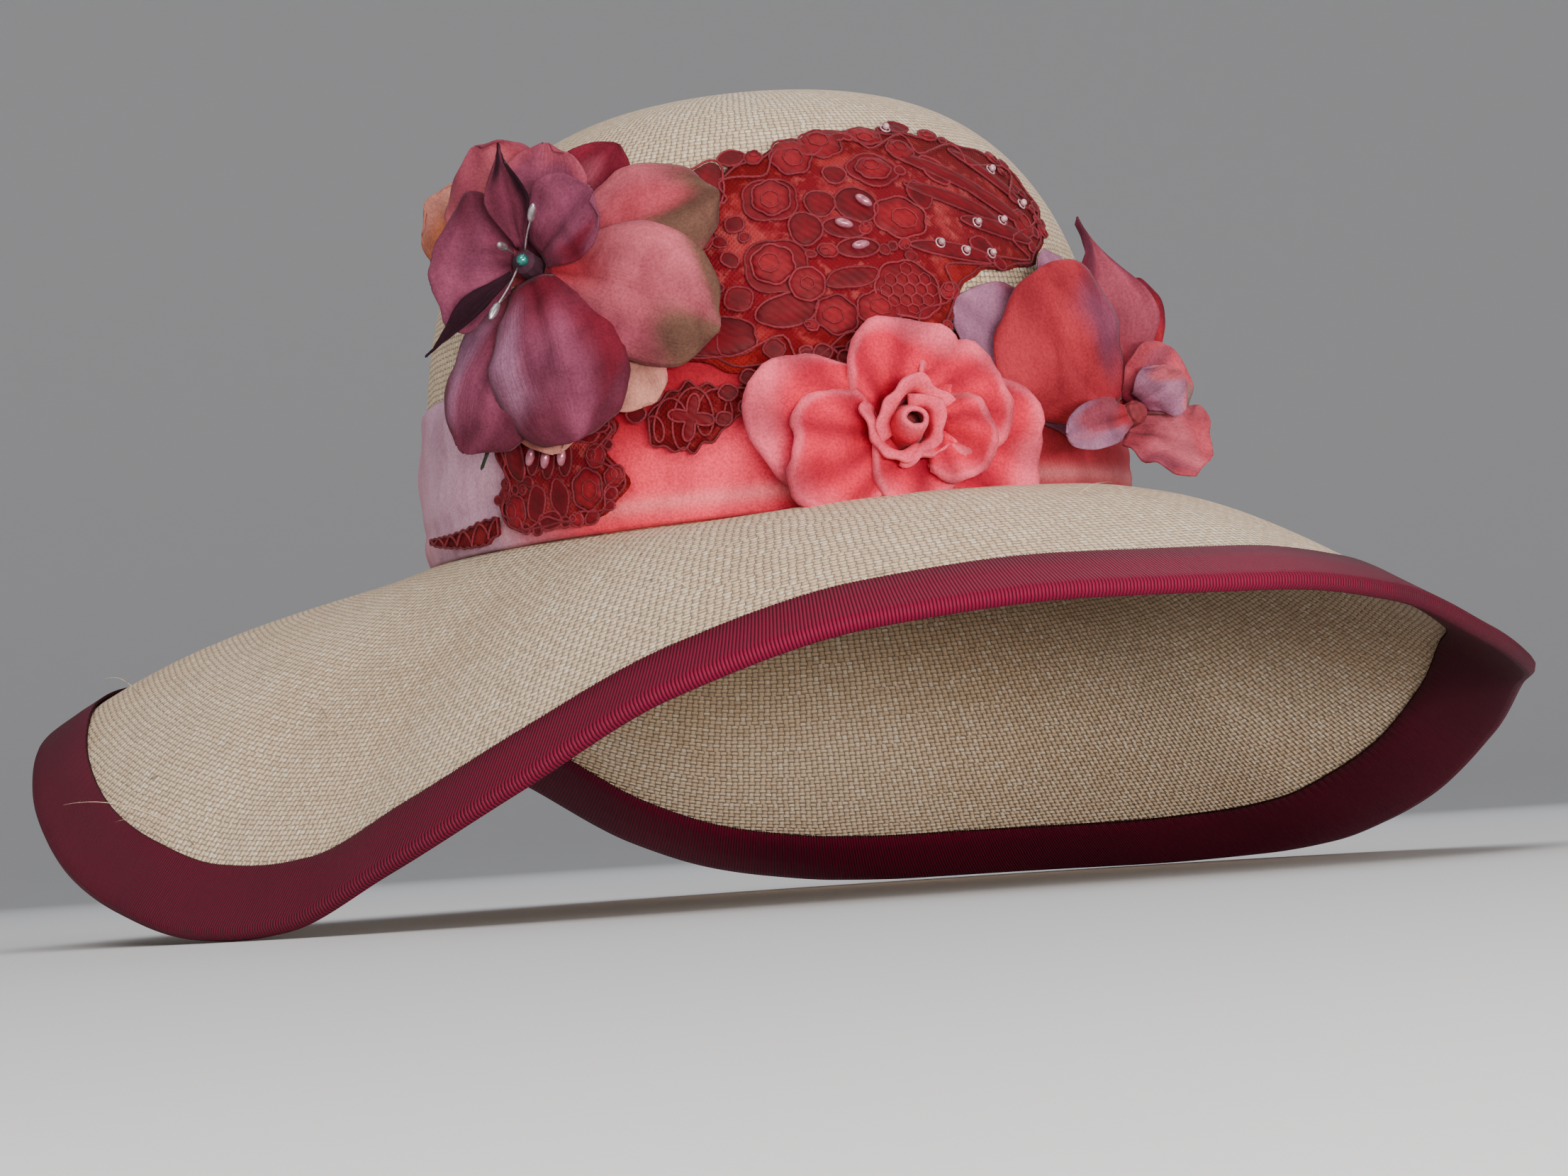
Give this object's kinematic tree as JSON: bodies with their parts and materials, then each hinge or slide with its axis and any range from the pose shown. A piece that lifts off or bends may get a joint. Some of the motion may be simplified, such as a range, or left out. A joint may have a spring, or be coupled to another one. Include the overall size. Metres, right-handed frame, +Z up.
{
  "type": "wide brim straw hat",
  "caption": "Wide brim straw hat with a round crown, wavy brim bound in ribbon, velvet band, corded lace patches and velvet flowers round the crown.",
  "frame": {"origin": "on the surface that the hat stands on, under the middle of its outside box", "axes": "+Z up through the crown, -Y towards the front of the hat, which is the side that the picture shows, +X towards the right of the picture, which is the wearer's left"},
  "size_m": [0.377, 0.3788, 0.2016],
  "materials": {
    "bead_rose": "pearl gloss",
    "burgundy_ribbon": "ribbed grosgrain",
    "coral_velvet": "short pile velvet, shaded",
    "lace_cord": "corded lace on net",
    "leaf_dark": "dark cloth",
    "leaf_green": "dark cloth",
    "pearl_green": "gloss",
    "petal_coral": "shaded velvet, dull",
    "petal_mauve": "shaded velvet, dull",
    "petal_olive": "shaded velvet, dull",
    "petal_peach": "shaded velvet, dull",
    "petal_pink": "shaded velvet, dull",
    "petal_plum": "shaded velvet, dull",
    "petal_red": "shaded velvet, dull",
    "rose_velvet": "velvet pile",
    "stamen_silver": "silver coating",
    "straw": "undyed sisal cloth, fine weave"
  },
  "bodies": {
    "root": {"bead_crown_1": "bead_rose", "bead_crown_2": "bead_rose", "bead_crown_3": "bead_rose", "bead_side_1": "bead_rose", "bead_side_2": "bead_rose", "bead_side_3": "bead_rose", "brim": "straw", "brim_binding": "burgundy_ribbon", "crown": "straw", "lace_crown": "lace_cord", "lace_side": "lace_cord", "lace_spray": "lace_cord", "lace_tail": "lace_cord", "left_flower_calyx": "leaf_dark", "left_leaf_down": "leaf_dark", "left_leaf_low": "leaf_green", "left_leaf_up": "leaf_dark", "left_petal_far_right": "petal_pink", "left_petal_left": "petal_plum", "left_petal_low_left": "petal_plum", "left_petal_low_peach": "petal_peach", "left_petal_low_right": "petal_peach", "left_petal_lower": "petal_plum", "left_petal_peach": "petal_peach", "left_petal_right": "petal_olive", "left_petal_small": "petal_mauve", "left_petal_top": "petal_mauve", "left_petal_top_left": "petal_pink", "left_petal_top_right": "petal_mauve", "left_petal_upper_right": "petal_pink", "pearl": "pearl_green", "right_flower_calyx": "petal_red", "right_petal_coral": "petal_coral", "right_petal_edge": "petal_mauve", "right_petal_far": "petal_mauve", "right_petal_front": "petal_mauve", "right_petal_lilac": "petal_mauve", "right_petal_low": "petal_pink", "right_petal_mid": "petal_pink", "right_petal_red": "petal_red", "right_petal_tall": "petal_plum", "rose_calyx": "rose_velvet", "rose_petal_far_right": "rose_velvet", "rose_petal_left": "rose_velvet", "rose_petal_left_back": "rose_velvet", "rose_petal_low": "rose_velvet", "rose_petal_right": "rose_velvet", "rose_petal_top": "rose_velvet", "rose_petal_upper_right": "rose_velvet", "rose_whorl_1": "rose_velvet", "rose_whorl_2": "rose_velvet", "rose_whorl_3": "rose_velvet", "stamen_down": "stamen_silver", "stamen_left": "stamen_silver", "stamen_up": "stamen_silver", "velvet_band": "coral_velvet"}
  },
  "joints": []
}
